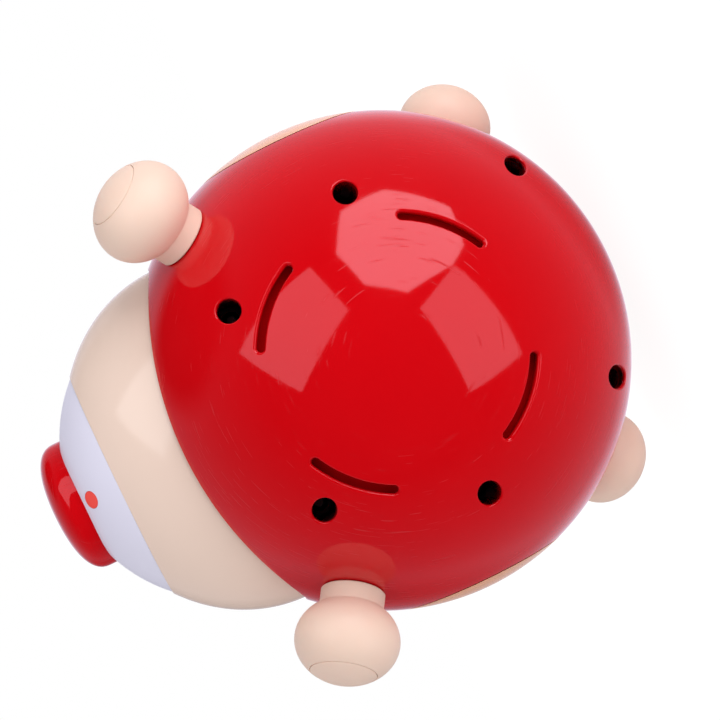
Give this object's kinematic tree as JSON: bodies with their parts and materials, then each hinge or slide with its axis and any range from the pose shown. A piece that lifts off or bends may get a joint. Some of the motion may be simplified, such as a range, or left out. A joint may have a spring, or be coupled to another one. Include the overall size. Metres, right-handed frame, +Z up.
{
  "type": "tumbler toy",
  "caption": "Self-righting ball toy with a weighted round body in two screwed halves, a head with a knobbed cap, ball limbs that turn and a swinging hammer that rings chime rods inside.",
  "frame": {"origin": "on the surface that the toy stands on, below the middle of the ball body", "axes": "+Z up through the ball and the head, -Y to the front, +X to the toy's left"},
  "size_m": [0.1502, 0.14, 0.1702],
  "materials": {
    "red_abs": "glossy moulded red",
    "cream_abs": "glossy moulded cream",
    "peach_vinyl": "satin moulded peach",
    "lilac_white_abs": "satin moulded lilac white",
    "ochre_abs": "glossy moulded ochre",
    "orange_red_abs": "satin moulded orange red",
    "grey_plastic": "moulded grey, unpolished",
    "steel": "zinc plated",
    "cast_iron": "as cast"
  },
  "bodies": {
    "body": {"rear_shell": "red_abs", "front_shell": "red_abs", "side_cap_left": "ochre_abs", "side_cap_right": "ochre_abs", "head_rear": "cream_abs", "head_front": "cream_abs", "hat_cap": "lilac_white_abs", "hat_knob": "red_abs", "hat_stud": "orange_red_abs", "neck_plate": "grey_plastic", "striker_pin": "steel", "ballast": "cast_iron", "ballast_screw": "steel", "chime_base": "grey_plastic", "chime_rod_1": "steel", "chime_rod_2": "steel", "chime_rod_3": "steel", "chime_rod_4": "steel", "shell_screw_1": "steel", "shell_screw_2": "steel", "shell_screw_3": "steel", "shell_screw_4": "steel", "shell_screw_5": "steel", "shell_screw_6": "steel", "plate_screw_1": "steel", "plate_screw_2": "steel", "plate_screw_3": "steel", "plate_screw_4": "steel", "head_screw_1": "steel", "head_screw_2": "steel", "head_screw_3": "steel", "head_screw_4": "steel"},
    "left_arm": {"arm_left": "peach_vinyl", "arm_left_tip": "peach_vinyl", "arm_left_retainer": "grey_plastic"},
    "right_arm": {"arm_right": "peach_vinyl", "arm_right_tip": "peach_vinyl", "arm_right_retainer": "grey_plastic"},
    "left_foot": {"foot_left": "peach_vinyl", "foot_left_tip": "peach_vinyl", "foot_left_retainer": "grey_plastic"},
    "right_foot": {"foot_right": "peach_vinyl", "foot_right_tip": "peach_vinyl", "foot_right_retainer": "grey_plastic"},
    "hammer": {"striker": "steel"}
  },
  "joints": [
    {"name": "left_arm_turn", "type": "hinge", "parent": "body", "child": "left_arm", "pos_m": [0, 0, 0.06974], "axis": [0.748, 0.427, 0.508], "continuous": true},
    {"name": "right_arm_turn", "type": "hinge", "parent": "body", "child": "right_arm", "pos_m": [0, 0, 0.06974], "axis": [-0.748, 0.427, 0.508], "continuous": true},
    {"name": "left_foot_turn", "type": "hinge", "parent": "body", "child": "left_foot", "pos_m": [0, 0, 0.06974], "axis": [0.6631, -0.4421, -0.6041], "continuous": true},
    {"name": "right_foot_turn", "type": "hinge", "parent": "body", "child": "right_foot", "pos_m": [0, 0, 0.06974], "axis": [-0.6631, -0.4421, -0.6041], "continuous": true},
    {"name": "hammer_swing", "type": "hinge", "parent": "body", "child": "hammer", "pos_m": [0, 0, 0.10275], "axis": [1, 0, 0], "range_deg": [-8.5, 8.5]}
  ]
}
